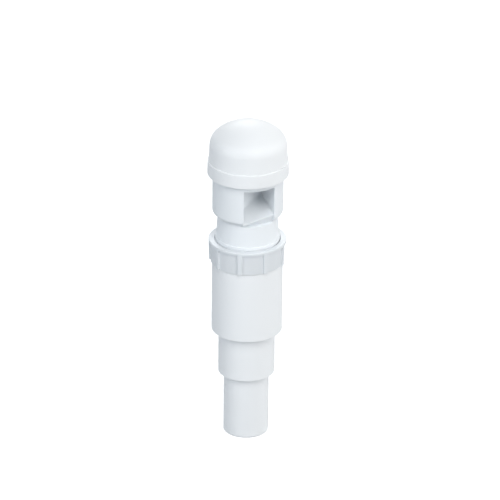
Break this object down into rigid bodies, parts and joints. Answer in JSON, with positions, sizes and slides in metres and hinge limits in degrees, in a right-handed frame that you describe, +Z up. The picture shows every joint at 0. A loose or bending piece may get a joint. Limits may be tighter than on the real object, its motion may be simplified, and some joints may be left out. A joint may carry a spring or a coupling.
{
  "type": "air admittance valve",
  "caption": "Air admittance valve with a dome cap, a windowed barrel over a ribbed locking nut, and a stepped adaptor for three waste pipe sizes.",
  "frame": {"origin": "centre of the adaptor's foot, at the bottom of the assembled valve", "axes": "+Z up the common axis from the 32 mm pipe end to the dome cap, -Y through the front air window"},
  "size_m": [0.0574, 0.0572, 0.2396],
  "materials": {
    "adaptor_plastic": "satin white moulded plastic",
    "nut_plastic": "satin white moulded plastic, a little greyer",
    "washer_plastic": "plain pale plastic",
    "seal_rubber": "matt black rubber",
    "body_plastic": "satin white moulded plastic",
    "seat_plastic": "satin white moulded plastic",
    "membrane_rubber": "matt dark grey rubber",
    "carrier_plastic": "satin white moulded plastic",
    "cap_plastic": "smooth white moulded plastic"
  },
  "bodies": {
    "adaptor": {"stepped_adaptor": "adaptor_plastic"},
    "head": {"valve_body": "body_plastic", "valve_seat": "seat_plastic", "outlet_seal": "seal_rubber", "cap_seal_ring": "seal_rubber"},
    "cover": {"cap": "cap_plastic"},
    "flap": {"membrane": "membrane_rubber", "membrane_carrier": "carrier_plastic", "pin_clip": "carrier_plastic"},
    "washer": {"slip_washer": "washer_plastic"},
    "nut": {"locking_nut": "nut_plastic"}
  },
  "joints": [
    {"name": "head_lift", "type": "slide", "parent": "adaptor", "child": "head", "axis": [0, 0, 1], "range_m": [0, 0.0474]},
    {"name": "cap_lift", "type": "slide", "parent": "head", "child": "cover", "axis": [0, 0, 1], "range_m": [0, 0.05]},
    {"name": "membrane_lift", "type": "slide", "parent": "head", "child": "flap", "axis": [0, 0, 1], "range_m": [0, 0.006]},
    {"name": "nut_travel", "type": "slide", "parent": "head", "child": "washer", "axis": [0, 0, 1], "range_m": [0, 0.00462]},
    {"name": "nut_turn", "type": "hinge", "parent": "washer", "child": "nut", "pos_m": [0, 0, 0.1424], "axis": [0, 0, 1], "range_deg": [0, 720]}
  ],
  "couplings": [
    {"joint": "nut_travel", "follows": "nut_turn", "m_per_rad": 0.0003675}
  ]
}
